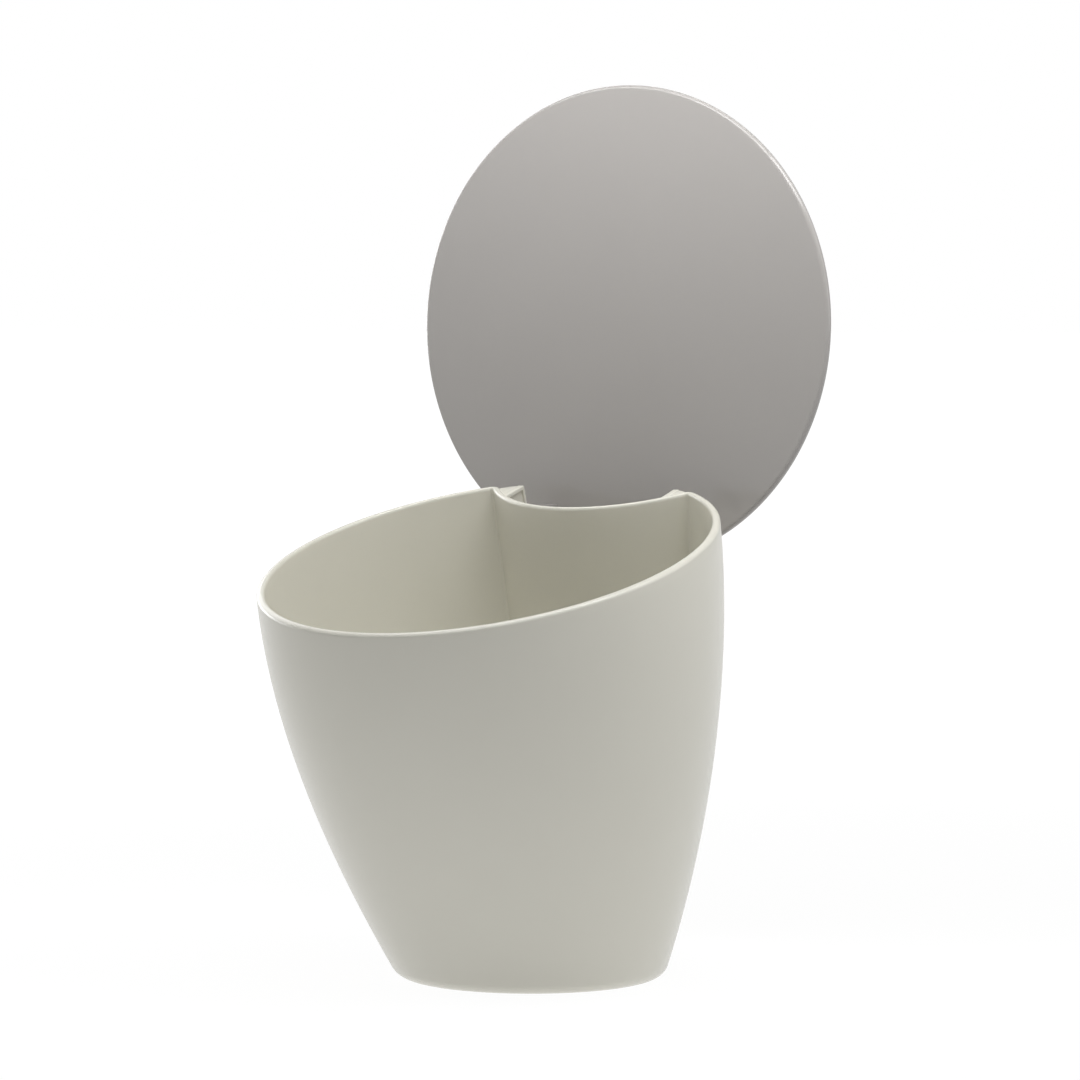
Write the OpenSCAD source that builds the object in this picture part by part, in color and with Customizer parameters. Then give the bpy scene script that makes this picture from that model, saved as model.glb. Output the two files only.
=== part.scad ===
// Countertop bin with a swing lid.
// The bin is one moulding: a bucket that leans forward, with a round rim that slopes
// down to the front and a scooped back between two ears. The flat round lid turns on
// two short pins behind the scoop. Pressing its back edge into the scoop opens it.
// Origin: centre of the underside. +Z is up and -Y is the low front of the rim.

/* [Bin] */
// Radius of the rim, measured outside
rim_r = 80; // [60:1:110]
// Radius of the base, measured outside
base_r = 46.2; // [35:0.1:60]
// Height of the centre of the rim
rim_h = 146.7; // [110:0.1:200]
// How far the rim's centre stands in front of the base's centre
rim_lean = 26.3; // [10:0.1:35]
// Slope of the rim, low at the front
rim_tilt = 17; // [8:0.1:22]
// How strongly the side swells between base and rim
side_swell = 1.84; // [1.4:0.01:2.2]
// Thickness of the wall
wall = 2.8; // [1.8:0.1:3.5]
// Thickness of the floor
floor_t = 3.2; // [2:0.1:5]
// Radius of the edge between side and underside
base_round = 4; // [2:0.1:6]

/* [Scoop] */
// Depth of the scoop at the rim
scoop_depth = 31; // [20:0.5:34]
// Depth that is left of the scoop at the base
scoop_foot = 5; // [4:0.5:10]
// Radius of the scoop's curve
scoop_r = 50; // [44:0.5:60]
// How quickly the scoop runs out towards the base
scoop_fade = 1.43; // [1.2:0.01:1.8]
// Radius of the two ears, measured outside
ear_r = 4; // [3.5:0.1:6]

/* [Lid] */
// Radius of the lid
lid_r = 84.8; // [82:0.1:88]
// Thickness of the lid
lid_t = 3; // [2:0.1:4]
// Radius of the lid's edge
lid_edge = 1.3; // [0.5:0.1:1.4]
// Gap between rim and closed lid
lid_gap = 0.3; // [0.2:0.1:1]
// Angle that the lid swings through
swing = 107.8; // [80:0.1:108]

/* [Hinge] */
// Distance of the hinge's axis behind the rim's centre
hinge_back = 69.3; // [66:0.1:71]
// Depth of the hinge's axis below the crest of the rim
hinge_drop = 12.8; // [11:0.1:14]
// Radius of the pins
pin_r = 2; // [1.5:0.1:2.4]
// Radial clearance of the pins in the lid's arms
pin_clear = 0.06; // [0.02:0.01:0.1]
// Radius of the knuckles round the pins
knuckle_r = 5; // [4.5:0.1:5.5]
// Distance from the middle to the inner side of a lug
lug_x = 31.5; // [30:0.1:33]
// Thickness of a lug's plate
lug_t = 2.2; // [1.6:0.1:2.4]
// Length of the boss outside the lug's plate
boss_l = 4.3; // [3:0.1:5]
// Width of an arm of the lid
arm_w = 4.5; // [3:0.1:5]
// Side gap between arm and lug
arm_gap = 0.8; // [0.4:0.1:1.2]

/* [Hidden] */

// Height of the rim's crest over the plane where the lip starts to round
lip_r = wall / 2;
// Distance of the rim's crest from the inside of the wall
lip_in = 0.8;
// Smallest radius that an ear keeps on the inside of the wall
ear_least = 0.6;
// Hinge and lid in the rim's own frame: y runs back along the slope, z stands on it
hinge_z = lip_r - hinge_drop;
lid_z = lip_r + lid_gap;
arm_x = lug_x - arm_gap - arm_w;
// How far an arm's stop reaches in front of the axis when the lid stands open
stop_reach = 10.2;
stop_w = 4;
// How far an arm reaches up into the lid's disc
arm_sink = 0.5;
// Lug: depth of its top below the rim's crest, thickness of its cover
cover_drop = 1.1;
cover_t = 1.5;
// Lug: how far its cover and its plate run behind the axis, and the sloped corner
cover_l = 2.4;
plate_l = 2.9;
cover_slope = 0.5;
// Lug: depth of the pocket in its plate, and the edge left behind the pocket
pocket_d = 0.8;
pocket_edge = 1.2;
// Lug: how far its cover stops short of the ear's crest, and how far it is cut back outside
cover_short = 0.4;
cover_cut = 1;
// Lug: how far its lower corner sinks into the wall of the scoop
root_sink = 1;
boss_r = knuckle_r - 0.5;
// Pin: gaps to the arm's inner side and to the boss's end, and the cone at each end
pin_in = 0.3;
pin_out = 0.7;
pin_cone = 0.5;
// How far a cut runs past the face that it opens
past = 1;
// Steps round one outline: long arc, each ear, scoop
arc_n = 60;
ear_n = 5;
scoop_n = 16;
// Steps up the side, round the lip and round the base's edge
side_n = 14;
lip_n = 6;
edge_n = 3;
// Steps round hinge parts, the stop's tip, the cover's curve and the lid
hinge_n = 48;
tip_n = 32;
cover_n = 96;
lid_n = 128;
plastic = "#d3d3ca";
lid_grey = "#b4b2b1";
steel = "#b9bcc0";

// Section of the bin at level s, from 0 at the base to 1 at the rim
function section_r(s) = rim_r - (rim_r - base_r) * pow(1 - s, side_swell);
function section_scoop(s) = scoop_depth - (scoop_depth - scoop_foot) * pow(1 - s, scoop_fade);
// Points along an arc in n steps, up to the one numbered last
function arc(cx, cy, r, from, to, n, last) =
    [for (i = [0 : last]) let (a = from + (to - from) * i / n) [cx + r * cos(a), cy + r * sin(a)]];

// Centre of the scoop's curve at level s, behind the section's centre
function scoop_y(s) = section_r(s) - section_scoop(s) + scoop_r;
// Radius of an ear and the centre of its curve, for an outline moved inwards by inset
function ear_e(inset) = max(ear_r - inset, ear_least);
function ear(s, inset) = let (
    c = scoop_y(s),
    far = section_r(s) - inset - ear_e(inset),
    y = (pow(far, 2) - pow(scoop_r + inset + ear_e(inset), 2) + c * c) / (2 * c)
) [sqrt(far * far - y * y), y];

// Outline at level s, moved inwards by inset: long arc, ear, scoop, ear
function outline(s, inset) = let (
    e = ear(s, inset),
    a = atan2(e[1], e[0]),
    b = atan2(scoop_y(s) - e[1], e[0])
) concat(
    arc(0, 0, section_r(s) - inset, 180 - a, 360 + a, arc_n, arc_n - 1),
    arc(e[0], e[1], ear_e(inset), a, 180 - b, ear_n, ear_n - 1),
    arc(0, scoop_y(s), scoop_r + inset, -b, b - 180, scoop_n, scoop_n - 1),
    arc(-e[0], e[1], ear_e(inset), b, 180 - a, ear_n, ear_n - 1)
);

// A point of the section at level s, x across, y back along the slope, z square to it
function lifted(p, s, z) = let (t = rim_tilt * s) [
    p[0],
    -rim_lean * s + p[1] * cos(t) - z * sin(t),
    rim_h * s + p[1] * sin(t) + z * cos(t)
];
function ring(s, inset, z) = [for (p = outline(s, inset)) lifted(p, s, z)];

// Level of the section whose centre is at height h
function level(h) = h / rim_h;

// How far the lip's surface lies inside the bin's outer face, at angle a round the lip
function lip_inset(a) = wall - lip_in - (a < 90 ? wall - lip_in : lip_in) * cos(a);

function skin_rings() = concat(
    [for (i = [0 : edge_n]) let (a = 90 * i / edge_n)
        ring(level(base_round * (1 - cos(a))), base_round * (1 - sin(a)), 0)],
    [for (i = [1 : side_n]) let (foot = level(base_round)) ring(foot + (1 - foot) * i / side_n, 0, 0)],
    [for (i = [1 : lip_n]) let (a = 180 * i / lip_n) ring(1, lip_inset(a), lip_r * sin(a))],
    [for (i = [1 : side_n]) let (foot = level(floor_t + base_round)) ring(1 + (foot - 1) * i / side_n, wall, 0)],
    [for (i = [1 : edge_n]) let (a = 90 * i / edge_n)
        ring(level(floor_t + base_round * (1 - sin(a))), wall + base_round * (1 - cos(a)), 0)]
);

module loft(rings) {
    n = len(rings[0]);
    m = len(rings);
    points = [for (r = rings) for (p = r) p];
    sides = [for (j = [0 : m - 2]) for (i = [0 : n - 1]) let (
        a = j * n + i,
        b = j * n + (i + 1) % n
    ) each [[a, a + n, b + n], [a, b + n, b]]];
    bottom = [for (i = [0 : n - 1]) i];
    top = [for (i = [n - 1 : -1 : 0]) (m - 1) * n + i];
    polyhedron(points, concat([bottom], sides, [top]), convexity = 6);
}

// Puts its children into the rim's frame
module on_rim() {
    translate([0, -rim_lean, rim_h]) rotate([rim_tilt, 0, 0]) children();
}

// Extrudes an outline drawn in the rim's y-z plane from x to x + w
module across(x, w) {
    translate([x, 0, 0]) rotate([90, 0, 90]) linear_extrude(w) children();
}

// One hinge lug on the right ear: a plate with a pocket and a boss, and a cover on top
// that joins it to the ear
module lug() {
    root = scoop_y(1) - sqrt(pow(scoop_r, 2) - pow(lug_x, 2)) - wall / 2;
    back = hinge_back + plate_l;
    top = lip_r - cover_drop;
    foot = hinge_z - knuckle_r;
    plate = [[root, top], [hinge_back + cover_l, top], [back, top - cover_slope],
        [back, hinge_z], [hinge_back, foot], [root - root_sink, foot - knuckle_r]];
    difference() {
        union() {
            across(lug_x + pocket_d, lug_t - pocket_d) polygon(plate);
            across(lug_x, lug_t) {
                difference() {
                    polygon(plate);
                    translate([root, hinge_z])
                        square([back - pocket_edge - root, top - cover_t - hinge_z]);
                }
                translate([hinge_back, hinge_z]) circle(knuckle_r, $fn = hinge_n);
            }
            translate([lug_x, hinge_back, hinge_z]) rotate([0, 90, 0])
                cylinder(h = lug_t + boss_l, r = boss_r, $fn = hinge_n);
            translate([0, 0, top - cover_t]) linear_extrude(cover_t) intersection() {
                translate([0, scoop_y(1)]) circle(scoop_r + wall / 2, $fn = cover_n);
                polygon([[lug_x, 0], [ear(1, 0)[0], 0], ear(1, 0) + [0, ear_r - cover_short],
                    [lug_x + 2 * lug_t, hinge_back + cover_l - cover_cut],
                    [lug_x, hinge_back + cover_l]]);
            }
        }
        translate([lug_x - past, hinge_back, hinge_z]) rotate([0, 90, 0])
            cylinder(h = lug_t + boss_l + 2 * past, r = pin_r, $fn = hinge_n);
    }
}

module bin_body() {
    color(plastic) union() {
        loft(skin_rings());
        on_rim() {
            lug();
            mirror([1, 0, 0]) lug();
        }
    }
}

// One arm on the underside of the lid, with the stop that meets the scoop's wall
module arm() {
    tip = stop_reach - stop_w / 2;
    difference() {
        across(arm_x, arm_w) {
            translate([hinge_back, hinge_z]) circle(knuckle_r, $fn = hinge_n);
            translate([hinge_back - knuckle_r, hinge_z])
                square([2 * knuckle_r, lid_z - hinge_z + arm_sink]);
            translate([hinge_back, hinge_z]) rotate(swing) {
                translate([-tip, -stop_w / 2]) square([tip, stop_w]);
                translate([-tip, 0]) circle(stop_w / 2, $fn = tip_n);
            }
        }
        translate([arm_x - past, hinge_back, hinge_z]) rotate([0, 90, 0])
            cylinder(h = arm_w + 2 * past, r = pin_r + pin_clear, $fn = hinge_n);
    }
}

module lid_closed() {
    profile = concat(
        [[0, 0]],
        arc(lid_r - lid_edge, lid_edge, lid_edge, -90, 0, edge_n, edge_n),
        arc(lid_r - lid_edge, lid_t - lid_edge, lid_edge, 0, 90, edge_n, edge_n),
        [[0, lid_t]]
    );
    translate([0, 0, lid_z]) rotate_extrude($fn = lid_n) polygon(profile);
    arm();
    mirror([1, 0, 0]) arm();
}

// The lid stands open, as it is photographed
module lid() {
    color(lid_grey) on_rim() translate([0, hinge_back, hinge_z]) rotate([-swing, 0, 0])
        translate([0, -hinge_back, -hinge_z]) lid_closed();
}

// A plain pin with coned ends, pressed into the lug and free in the arm
module hinge_pin() {
    length = arm_w + arm_gap + lug_t + boss_l - pin_in - pin_out;
    color(steel) on_rim() translate([arm_x + pin_in, hinge_back, hinge_z]) rotate([0, 90, 0])
        rotate_extrude($fn = hinge_n) polygon([[0, 0], [pin_r - pin_cone, 0], [pin_r, pin_cone],
            [pin_r, length - pin_cone], [pin_r - pin_cone, length], [0, length]]);
}
module hinge_pin_left() {
    mirror([1, 0, 0]) hinge_pin();
}
module hinge_pin_right() {
    hinge_pin();
}

bin_body();
lid();
hinge_pin_left();
hinge_pin_right();
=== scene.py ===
# Countertop bin with a swing lid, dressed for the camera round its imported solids.
# Metres. The origin is the centre of the underside, and -Y is the low front of the rim.
from math import atan2, cos, pi, radians, sin, sqrt

import bmesh
import bpy
from mathutils import Matrix, Vector


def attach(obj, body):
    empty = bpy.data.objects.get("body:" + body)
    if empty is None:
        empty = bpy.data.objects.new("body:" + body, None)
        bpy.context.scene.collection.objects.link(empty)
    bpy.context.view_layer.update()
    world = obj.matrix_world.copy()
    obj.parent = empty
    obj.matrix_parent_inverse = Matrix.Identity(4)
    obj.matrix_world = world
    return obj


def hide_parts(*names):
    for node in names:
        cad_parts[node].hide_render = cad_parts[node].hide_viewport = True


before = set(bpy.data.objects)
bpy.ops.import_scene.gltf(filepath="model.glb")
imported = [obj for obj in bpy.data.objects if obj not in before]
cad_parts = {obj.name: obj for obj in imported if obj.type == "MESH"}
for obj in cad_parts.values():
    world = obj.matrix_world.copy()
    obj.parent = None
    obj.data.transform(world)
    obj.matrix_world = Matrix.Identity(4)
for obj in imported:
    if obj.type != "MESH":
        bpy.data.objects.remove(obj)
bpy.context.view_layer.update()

# Camera: a long lens, about a third of the way round from the low front to the right
# side and a little above the rim, as the picture was taken. It looks slightly down.
camera_azimuth = radians(33.67)
camera_pitch = radians(2.97)
camera_reach = 1.5741
aim_across = 0.00309
aim_height = 0.1512
camera_back = Vector((
    sin(camera_azimuth) * cos(camera_pitch),
    -cos(camera_azimuth) * cos(camera_pitch),
    sin(camera_pitch),
))
camera_right = Vector((cos(camera_azimuth), sin(camera_azimuth), 0))
camera_aim = camera_right * aim_across + Vector((0, 0, aim_height))
camera = bpy.data.objects.new("camera", bpy.data.cameras.new("camera"))
bpy.context.scene.collection.objects.link(camera)
camera.data.sensor_width = 36
camera.data.lens = 152
camera.location = camera_aim + camera_back * camera_reach
camera.rotation_mode = "QUATERNION"
camera.rotation_quaternion = (-camera_back).to_track_quat("-Z", "Y")
bpy.context.scene.camera = camera
bpy.context.scene.view_settings.view_transform = "Standard"

# Bin: one moulding in glossy warm off-white plastic, a bucket that leans forward. Its
# round rim slopes down to the front, and its back is scooped out between two ears.
rim_r = 0.080
base_r = 0.0462
rim_h = 0.1467
rim_lean = 0.0263
rim_tilt = radians(17)
side_swell = 1.84
wall = 0.0028
lip_r = wall / 2
lip_in = 0.0008  # from the lip's crest to the inside of the wall
floor_t = 0.0032
base_round = 0.004
scoop_depth = 0.031
scoop_foot = 0.005
scoop_r = 0.050
scoop_fade = 1.43
ear_r = 0.004
ear_least = 0.0006  # the smallest radius that an ear keeps on the inside
arc_steps = 168
ear_steps = 12
scoop_steps = 56
side_steps = 48
lip_steps = 12
edge_steps = 8
flat_edge = 0.0015  # width of the ring of faces round the underside and the floor


def section_r(s):
    """Radius of the bin's section at level s, from 0 at the base to 1 at the rim."""
    return rim_r - (rim_r - base_r) * (1 - s) ** side_swell


def scoop_y(s):
    """How far behind the section's centre the centre of the scoop's curve lies."""
    depth = scoop_depth - (scoop_depth - scoop_foot) * (1 - s) ** scoop_fade
    return section_r(s) - depth + scoop_r


def ear(s, inset):
    """Centre and radius of the right ear's curve, for an outline moved in by inset."""
    r = max(ear_r - inset, ear_least)
    far = section_r(s) - inset - r
    c = scoop_y(s)
    y = (far ** 2 - (scoop_r + inset + r) ** 2 + c ** 2) / (2 * c)
    return sqrt(far ** 2 - y ** 2), y, r


def arc(x, y, r, start, end, steps):
    """Points along an arc, without the last one."""
    turns = [start + (end - start) * i / steps for i in range(steps)]
    return [(x + r * cos(t), y + r * sin(t)) for t in turns]


def outline(s, inset):
    """Points round the section at level s: the long arc, an ear, the scoop, an ear."""
    x, y, r = ear(s, inset)
    a = atan2(y, x)
    b = atan2(scoop_y(s) - y, x)
    return (
        arc(0, 0, section_r(s) - inset, pi - a, 2 * pi + a, arc_steps)
        + arc(x, y, r, a, pi - b, ear_steps)
        + arc(0, scoop_y(s), scoop_r + inset, -b, b - pi, scoop_steps)
        + arc(-x, y, r, b, pi - a, ear_steps)
    )


def lifted(s, x, y, z):
    """A point of the section at level s, which leans forward and tilts with its level."""
    t = rim_tilt * s
    return Vector((
        x,
        -rim_lean * s + y * cos(t) - z * sin(t),
        rim_h * s + y * sin(t) + z * cos(t),
    ))


def lip_inset(t):
    """How far the lip's surface lies inside the outer face, at angle t round the lip."""
    crest = wall - lip_in
    return crest - (crest if t < pi / 2 else lip_in) * cos(t)


def skin_rings():
    """Level, inset and rise of each ring: up the outside, over the lip, down the inside."""
    quarter = [pi / 2 * i / edge_steps for i in range(edge_steps + 1)]
    foot = base_round / rim_h
    floor = (floor_t + base_round) / rim_h
    up = [i / side_steps for i in range(1, side_steps + 1)]
    over = [pi * i / lip_steps for i in range(1, lip_steps + 1)]
    return (
        [(foot * (1 - cos(t)), base_round * (1 - sin(t)), 0) for t in quarter]
        + [(foot + (1 - foot) * u, 0, 0) for u in up]
        + [(1, lip_inset(t), lip_r * sin(t)) for t in over]
        + [(1 + (floor - 1) * u, wall, 0) for u in up]
        + [
            ((floor_t + base_round * (1 - sin(t))) / rim_h, wall + base_round * (1 - cos(t)), 0)
            for t in quarter[1:]
        ]
    )


class Wire:
    """One output socket of a shader's node. Sums and products of it add Math nodes."""

    def __init__(self, socket):
        self.socket = socket

    @staticmethod
    def node(tree, kind, settings=None, inputs=None, output=0):
        """Adds a node, sets it up, fills or links its sockets, and gives one output if any."""
        made = tree.nodes.new("ShaderNode" + kind)
        for name, value in (settings or {}).items():
            setattr(made, name, value)
        for name, value in (inputs or {}).items():
            if isinstance(value, Wire):
                tree.links.new(value.socket, made.inputs[name])
            else:
                made.inputs[name].default_value = value
        return Wire(made.outputs[output]) if len(made.outputs) else None

    def math(self, operation, first, second):
        """A Math node on two values, either of which may be a plain number."""
        return Wire.node(
            self.socket.id_data, "Math", {"operation": operation}, {0: first, 1: second}
        )

    def __add__(self, other):
        return self.math("ADD", self, other)

    def __radd__(self, other):
        return self.math("ADD", other, self)

    def __mul__(self, other):
        return self.math("MULTIPLY", self, other)

    def __rmul__(self, other):
        return self.math("MULTIPLY", other, self)


def cleared(owner):
    """The node tree of a new material or world, emptied."""
    owner.use_nodes = True
    owner.node_tree.nodes.clear()
    return owner.node_tree


def moulded_plastic(name, colour, shade, gloss):
    """Glossy moulded plastic: a breath of mottle, soft sink waves and a fine grain."""
    wave_height = 0.9
    grain_height = 0.012
    mottle_haze = 0.08
    grain_haze = 0.04
    material = bpy.data.materials.new(name)
    tree = cleared(material)
    where = Wire.node(tree, "TexCoord", output="Object")
    mottle = Wire.node(tree, "TexNoise", None, {
        "Vector": where, "Scale": 34, "Detail": 3, "Roughness": 0.55,
    })
    waves = Wire.node(tree, "TexNoise", None, {
        "Vector": where, "Scale": 17, "Detail": 1, "Roughness": 0.4,
    })
    grain = Wire.node(tree, "TexNoise", None, {
        "Vector": where, "Scale": 900, "Detail": 2, "Roughness": 0.6,
    })
    # A colour Mix has its factor, A and B in sockets 0, 6 and 7, and its result in 2.
    body = Wire.node(tree, "Mix", {"data_type": "RGBA"}, {
        0: mottle, 6: (*shade, 1), 7: (*colour, 1),
    }, output=2)
    height = waves * wave_height + grain * grain_height
    bumped = Wire.node(tree, "Bump", None, {
        "Strength": 0.35, "Distance": 0.0002, "Height": height,
    })
    skin = Wire.node(tree, "BsdfPrincipled", None, {
        "Base Color": body,
        "Roughness": gloss + mottle * mottle_haze + grain * grain_haze,
        "IOR": 1.49,
        "Normal": bumped,
    })
    Wire.node(tree, "OutputMaterial", None, {"Surface": skin})
    return material


merge_gap = 1e-6


def make_piece(mesh, name, material, body, slot, *nodes):
    """Turns a bmesh into a smooth piece that rides on a body; the slot is not used."""
    bmesh.ops.remove_doubles(mesh, verts=mesh.verts, dist=merge_gap)
    bmesh.ops.recalc_face_normals(mesh, faces=mesh.faces)
    data = bpy.data.meshes.new(name)
    mesh.to_mesh(data)
    mesh.free()
    data.shade_smooth()
    data.materials.append(material)
    piece = bpy.data.objects.new(name, data)
    bpy.context.scene.collection.objects.link(piece)
    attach(piece, body)
    if nodes:
        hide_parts(*nodes)


bin_plastic = moulded_plastic(
    "bin_plastic", (0.75, 0.735, 0.655), (0.73, 0.715, 0.635), 0.18
)
skin = bmesh.new()
place = skin.verts.layers.int.new("place")
ring_size = arc_steps + scoop_steps + 2 * ear_steps
ring = bmesh.ops.create_circle(skin, cap_ends=True, segments=ring_size, radius=base_r)["verts"]
for i, vert in enumerate(ring):
    vert[place] = i
edges = list(skin.edges)
for number, (level, inset, rise) in enumerate(skin_rings()):
    if number:
        grown = bmesh.ops.extrude_edge_only(skin, edges=edges)["geom"]
        ring = [g for g in grown if isinstance(g, bmesh.types.BMVert)]
        fresh = set(ring)
        edges = [
            g for g in grown
            if isinstance(g, bmesh.types.BMEdge) and all(v in fresh for v in g.verts)
        ]
    points = outline(level, inset)
    for vert in ring:
        vert.co = lifted(level, *points[vert[place]], rise)
bmesh.ops.contextual_create(skin, geom=edges)
flats = [f for f in skin.faces if len(f.verts) > 4]
bmesh.ops.inset_individual(skin, faces=flats, thickness=flat_edge)
make_piece(skin, "bin_shell", bin_plastic, "bin", "bin_plastic", "bin_body")

# Hinge lugs: moulded on the inner side of each ear, in the bin's own plastic. A pocketed
# plate and a short boss hold the pin, and a flat cover joins the plate to the ear.
hinge_back = 0.0693
hinge_drop = 0.0128
hinge_z = lip_r - hinge_drop
knuckle_r = 0.005
pin_r = 0.002
lug_x = 0.0315
lug_t = 0.0022
boss_l = 0.0043
boss_r = 0.0045
cover_drop = 0.0011
cover_t = 0.0015
cover_l = 0.0024
plate_l = 0.0029
cover_slope = 0.0005
pocket_d = 0.0008
pocket_edge = 0.0012
cover_short = 0.0004
cover_cut = 0.001
cover_stop = 0.001  # from the end of the cover's curve to the centre of the ear
root_sink = 0.001
round_steps = 32
soft_edge = 0.00025
soft_steps = 3
sharp = radians(40)  # edges that turn by more than this are softened
hidden_step = 0.0001  # keeps two faces of a lug out of one plane
sides = (("left", -1), ("right", 1))
on_rim = Matrix.Translation((0, -rim_lean, rim_h)) @ Matrix.Rotation(rim_tilt, 4, "X")


def turned(y, z, r, start, end, steps=round_steps):
    """Points along an arc, both ends included."""
    angles = [start + (end - start) * i / steps for i in range(steps + 1)]
    return [(y + r * cos(t), z + r * sin(t)) for t in angles]


def plate(mesh, points, holes, place_point, thickness, pocket=(), sunk=None):
    """A flat plate with softened edges, round its bores and its pocket too."""
    before = set(mesh.faces)
    loops = []
    for loop in [points, *holes] + ([pocket] if pocket else []):
        verts = [mesh.verts.new(place_point(*p)) for p in loop]
        loops.append([mesh.edges.new(pair) for pair in zip(verts, verts[1:] + verts[:1])])
    lines = [line for loop in loops for line in loop]
    bmesh.ops.triangle_fill(mesh, use_beauty=True, edges=lines)
    dip = []
    if pocket:
        filled = bmesh.ops.triangle_fill(mesh, use_beauty=True, edges=loops[-1])["geom"]
        dip = [g for g in filled if isinstance(g, bmesh.types.BMFace)]
    sheet = [f for f in mesh.faces if f not in before]
    grown = bmesh.ops.extrude_face_region(mesh, geom=sheet, use_keep_orig=True)["geom"]
    moved = [g for g in grown if isinstance(g, bmesh.types.BMVert)]
    bmesh.ops.translate(mesh, verts=moved, vec=thickness)
    if dip:
        grown = bmesh.ops.extrude_face_region(mesh, geom=dip)["geom"]
        moved = [g for g in grown if isinstance(g, bmesh.types.BMVert)]
        bmesh.ops.translate(mesh, verts=moved, vec=sunk)
        bmesh.ops.delete(mesh, geom=dip, context="FACES")
    rims = [
        e for e in mesh.edges
        if len(e.link_faces) == 2 and e.link_faces[0] not in before
        and e.calc_face_angle(0) > sharp
    ]
    bmesh.ops.bevel(
        mesh, geom=rims, offset=soft_edge, segments=soft_steps, profile=0.5,
        affect="EDGES", material=-1,
    )


def ring_round_axis(mesh, profile, y, z):
    """Spins a profile of (x, r) points round a line along X through (y, z)."""
    verts = [mesh.verts.new((x, y + r, z)) for x, r in profile]
    lines = [mesh.edges.new(pair) for pair in zip(verts, verts[1:])]
    bmesh.ops.spin(
        mesh, geom=verts + lines, cent=(0, y, z), axis=(1, 0, 0), angle=2 * pi,
        steps=2 * round_steps, use_merge=True,
    )


root = scoop_y(1) - sqrt(scoop_r ** 2 - lug_x ** 2) - wall / 2
back = hinge_back + plate_l
top = lip_r - cover_drop
foot = hinge_z - knuckle_r
pocket_root = root + wall / 4
pocket_top = top - cover_t
pocket_l = plate_l - pocket_edge
neck = [atan2(sqrt(knuckle_r ** 2 - y ** 2), y) for y in (plate_l, pocket_l)]
bore = turned(hinge_back, hinge_z, pin_r, 0, 2 * pi)[:-1]
cheek = (
    [(root, top), (hinge_back + cover_l, top), (back, top - cover_slope)]
    + turned(hinge_back, hinge_z, knuckle_r, neck[0], -pi / 2)
    + [(root - root_sink, foot - knuckle_r)]
)
pocket_line = (
    [(pocket_root, hinge_z), (pocket_root, pocket_top)]
    + [(hinge_back + pocket_l, pocket_top)]
    + turned(hinge_back, hinge_z, knuckle_r, neck[1], pi)
)
ear_x, ear_y, _ = ear(1, 0)
cover_r = scoop_r + wall / 2
inner = lug_x + lug_t / 2
sweep = [atan2(-sqrt(cover_r ** 2 - x ** 2), x) for x in (inner, ear_x - cover_stop)]
cover = turned(0, scoop_y(1), cover_r, *sweep) + [
    (ear_x, ear_y + ear_r - cover_short),
    (lug_x + 2 * lug_t, hinge_back + cover_l - cover_cut),
    (inner, hinge_back + cover_l - hidden_step),
]
boss_end = lug_x + lug_t + boss_l
boss = [
    (inner, pin_r), (inner, boss_r), (boss_end - soft_edge, boss_r),
    (boss_end, boss_r - soft_edge), (boss_end, pin_r + soft_edge),
    (boss_end - soft_edge, pin_r), (inner, pin_r),
]
for side, way in sides:
    lug = bmesh.new()
    plate(
        lug, cheek, [bore], lambda y, z: (lug_x, y, z), (lug_t, 0, 0),
        pocket_line, (pocket_d, 0, 0),
    )
    plate(lug, cover, [], lambda x, y: (x, y, top - hidden_step), (0, 0, -cover_t))
    ring_round_axis(lug, boss, hinge_back, hinge_z)
    bmesh.ops.transform(lug, matrix=on_rim @ Matrix.Diagonal((way, 1, 1, 1)), verts=lug.verts)
    make_piece(lug, "bin_lug_" + side, bin_plastic, "bin", "bin_plastic")

# Lid: a flat round disc in polished light grey plastic, a little wider than the rim. It
# stands open, turned up about the hinge until its stops meet the wall of the scoop.
lid_r = 0.0848
lid_t = 0.003
lid_edge = 0.0013
edge_band = 0.001  # width of the ring of faces inside the rounded edge
lid_gap = 0.0003
lid_z = lip_r + lid_gap
swing = radians(107.8)
lid_steps = 256
hinge_point = Vector((0, hinge_back, hinge_z))
opened = (
    on_rim @ Matrix.Translation(hinge_point) @ Matrix.Rotation(-swing, 4, "X")
    @ Matrix.Translation(-hinge_point)
)
lid_plastic = moulded_plastic(
    "lid_plastic", (0.382, 0.366, 0.352), (0.370, 0.354, 0.340), 0.05
)
disc = bmesh.new()
edge_turns = [pi / 2 * i / edge_steps for i in range(edge_steps + 1)]
half = (
    [(0, 0), (lid_r - lid_edge - edge_band, 0)]
    + [(lid_r - lid_edge * (1 - sin(t)), lid_edge * (1 - cos(t))) for t in edge_turns]
    + [(lid_r - lid_edge * (1 - cos(t)), lid_t - lid_edge * (1 - sin(t))) for t in edge_turns]
    + [(lid_r - lid_edge - edge_band, lid_t), (0, lid_t)]
)
verts = [disc.verts.new((r, 0, lid_z + z)) for r, z in half]
lines = [disc.edges.new(pair) for pair in zip(verts, verts[1:])]
bmesh.ops.spin(
    disc, geom=verts + lines, cent=(0, 0, 0), axis=(0, 0, 1), angle=2 * pi,
    steps=lid_steps, use_merge=True,
)
bmesh.ops.transform(disc, matrix=opened, verts=disc.verts)
make_piece(disc, "lid_disc", lid_plastic, "lid", "lid_plastic", "lid")

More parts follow.
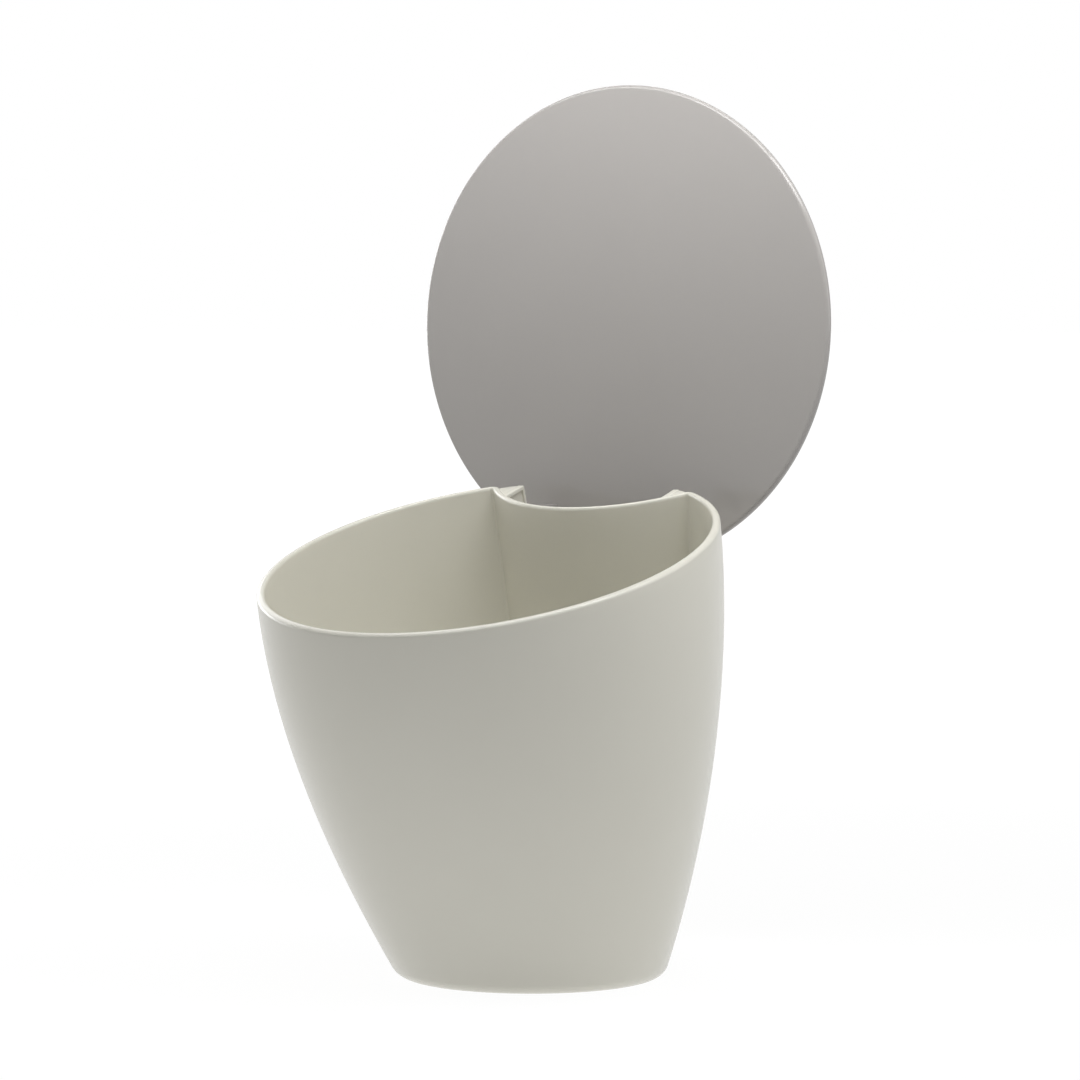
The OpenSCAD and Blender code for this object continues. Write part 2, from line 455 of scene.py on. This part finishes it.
# Lid arms: two short ribs moulded on the lid's underside. Each has an eye that turns on
# its pin, and a toe that stops the open lid against the wall of the scoop.
arm_w = 0.0045
arm_gap = 0.0008
arm_x = lug_x - arm_gap - arm_w
arm_sink = 0.0005
pin_clear = 0.00006
stop_reach = 0.0102
stop_w = 0.004
toe = pi + swing
half_toe = atan2(stop_w / 2, sqrt(knuckle_r ** 2 - stop_w ** 2 / 4))
tip = stop_reach - stop_w / 2
tip_y = hinge_back + tip * cos(toe)
tip_z = hinge_z + tip * sin(toe)
eye = turned(hinge_back, hinge_z, pin_r + pin_clear, 0, 2 * pi)[:-1]
rib = (
    [(hinge_back + knuckle_r, lid_z + arm_sink)]
    + turned(hinge_back, hinge_z, knuckle_r, 2 * pi, toe + half_toe)
    + turned(tip_y, tip_z, stop_w / 2, toe + pi / 2, toe - pi / 2)
    + turned(hinge_back, hinge_z, knuckle_r, toe - half_toe, pi)
    + [(hinge_back - knuckle_r, lid_z + arm_sink)]
)
for side, way in sides:
    arm = bmesh.new()
    plate(arm, rib, [eye], lambda y, z: (arm_x, y, z), (arm_w, 0, 0))
    bmesh.ops.transform(arm, matrix=opened @ Matrix.Diagonal((way, 1, 1, 1)), verts=arm.verts)
    make_piece(arm, "lid_arm_" + side, lid_plastic, "lid", "lid_plastic")

# Hinge pins: two plain lengths of drawn steel wire with rounded ends. Each is pressed
# into its lug and stands through the eye of the lid's arm.
pin_end = 0.0005  # radius of the rounding at each end
pin_in = 0.0003  # from the inner side of the arm to the pin's inner end
pin_out = 0.0007  # from the pin's outer end to the end of the boss
pin_start = arm_x + pin_in
pin_stop = boss_end - pin_out
end_steps = 6
steel_haze = 0.2
streak_haze = 0.2
steel = bpy.data.materials.new("pin_steel")
steel_tree = cleared(steel)
spot = Wire.node(steel_tree, "TexCoord", output="Object")
drawn = Wire.node(steel_tree, "Mapping", None, {"Vector": spot, "Scale": (40, 2600, 2600)})
streaks = Wire.node(steel_tree, "TexNoise", None, {"Vector": drawn, "Scale": 1, "Detail": 3})
metal = Wire.node(steel_tree, "BsdfPrincipled", None, {
    "Base Color": (0.56, 0.57, 0.58, 1),
    "Metallic": 1,
    "Roughness": steel_haze + streaks * streak_haze,
    "Normal": Wire.node(steel_tree, "Bump", None, {
        "Strength": 0.3, "Distance": 0.00002, "Height": streaks,
    }),
})
Wire.node(steel_tree, "OutputMaterial", None, {"Surface": metal})
shank = (
    [(pin_start, 0)]
    + turned(pin_start + pin_end, pin_r - pin_end, pin_end, pi, pi / 2, end_steps)
    + turned(pin_stop - pin_end, pin_r - pin_end, pin_end, pi / 2, 0, end_steps)
    + [(pin_stop, 0)]
)
for side, way in sides:
    pin = bmesh.new()
    ring_round_axis(pin, shank, hinge_back, hinge_z)
    bmesh.ops.transform(pin, matrix=on_rim @ Matrix.Diagonal((way, 1, 1, 1)), verts=pin.verts)
    make_piece(pin, "pivot_" + side, steel, "bin", "pin_steel", "hinge_pin_" + side)

# Studio: a floor of pale paper that fades into a white surround and glows a little, as
# lit paper does. Three soft lamps hang over the bin, and three broad ones stand further
# off at its sides, a little behind it.
floor_half = 30
paper_colour = (0.45, 0.45, 0.45, 1)
paper_glow = 0.54
paper_white = 1.05
paper_share = 0.8  # how much of the floor near the bin is seen white, not as lit paper
mirror_share = 0.65  # how strongly floor and surround show in gloss, against 1 direct
fade_from = 0.25  # the floor turns wholly white between these distances
fade_to = 1.2
lamp_aim = Vector((0, 0, 0.15))
white = (1, 1, 1, 1)


def shown(tree):
    """1 to the camera, mirror_share in gloss, and 0 to all other light."""
    seen = Wire.node(tree, "LightPath", output="Is Camera Ray")
    mirrored = Wire.node(tree, "LightPath", output="Is Glossy Ray")
    return seen + mirrored * mirror_share


floor_mesh = bmesh.new()
bmesh.ops.create_grid(floor_mesh, x_segments=1, y_segments=1, size=floor_half)
floor_data = bpy.data.meshes.new("studio_floor")
floor_mesh.to_mesh(floor_data)
floor_mesh.free()
floor = bpy.data.objects.new("studio_floor", floor_data)
bpy.context.scene.collection.objects.link(floor)
paper = bpy.data.materials.new("studio_paper")
paper_tree = cleared(paper)
sheet = Wire.node(paper_tree, "BsdfDiffuse", None, {"Color": paper_colour})
glow = Wire.node(paper_tree, "Emission", None, {"Color": white, "Strength": paper_glow})
lit = Wire.node(paper_tree, "AddShader", None, {0: sheet, 1: glow})
backdrop = Wire.node(paper_tree, "Emission", None, {"Color": white, "Strength": paper_white})
spread = Wire.node(paper_tree, "VectorMath", {"operation": "LENGTH"}, {
    0: Wire.node(paper_tree, "TexCoord", output="Object"),
}, output="Value")
share = Wire.node(paper_tree, "MapRange", {"interpolation_type": "SMOOTHSTEP"}, {
    "Value": spread, "From Min": fade_from, "From Max": fade_to, "To Min": paper_share, "To Max": 1,
})
surface = Wire.node(paper_tree, "MixShader", None, {
    0: shown(paper_tree) * share, 1: lit, 2: backdrop,
})
Wire.node(paper_tree, "OutputMaterial", None, {"Surface": surface})
floor_data.materials.append(paper)

world = bpy.data.worlds.new("studio")
bpy.context.scene.world = world
world_tree = cleared(world)
surround = Wire.node(world_tree, "Background", None, {
    "Color": white, "Strength": shown(world_tree),
})
Wire.node(world_tree, "OutputWorld", None, {"Surface": surround})

# Each lamp: azimuth and elevation in degrees, distance, width and height, and watts.
for name, azimuth, elevation, reach, width, height, power in (
    ("lamp_lid", 0, 80, 0.25, 0.34, 0.06, 0.37),
    ("lamp_front", 10, 62, 0.62, 0.50, 0.35, 1.33),
    ("lamp_side", 90, 58, 0.36, 0.20, 0.10, 0.39),
    ("lamp_edge_left", -110, 20, 1.5, 1.0, 1.0, 6.0),
    ("lamp_low_left", -95, 8, 1.5, 1.0, 0.5, 4.6),
    ("lamp_edge_right", 115, 25, 1.4, 1.2, 1.2, 5.8),
):
    lamp = bpy.data.lights.new(name, "AREA")
    lamp.shape = "RECTANGLE"
    lamp.size = width
    lamp.size_y = height
    lamp.energy = power
    stand = bpy.data.objects.new(name, lamp)
    stand.visible_camera = False
    bpy.context.scene.collection.objects.link(stand)
    a = radians(azimuth)
    e = radians(elevation)
    away = Vector((sin(a) * cos(e), -cos(a) * cos(e), sin(e)))
    stand.location = lamp_aim + away * reach
    stand.rotation_mode = "QUATERNION"
    stand.rotation_quaternion = (-away).to_track_quat("-Z", "Y")
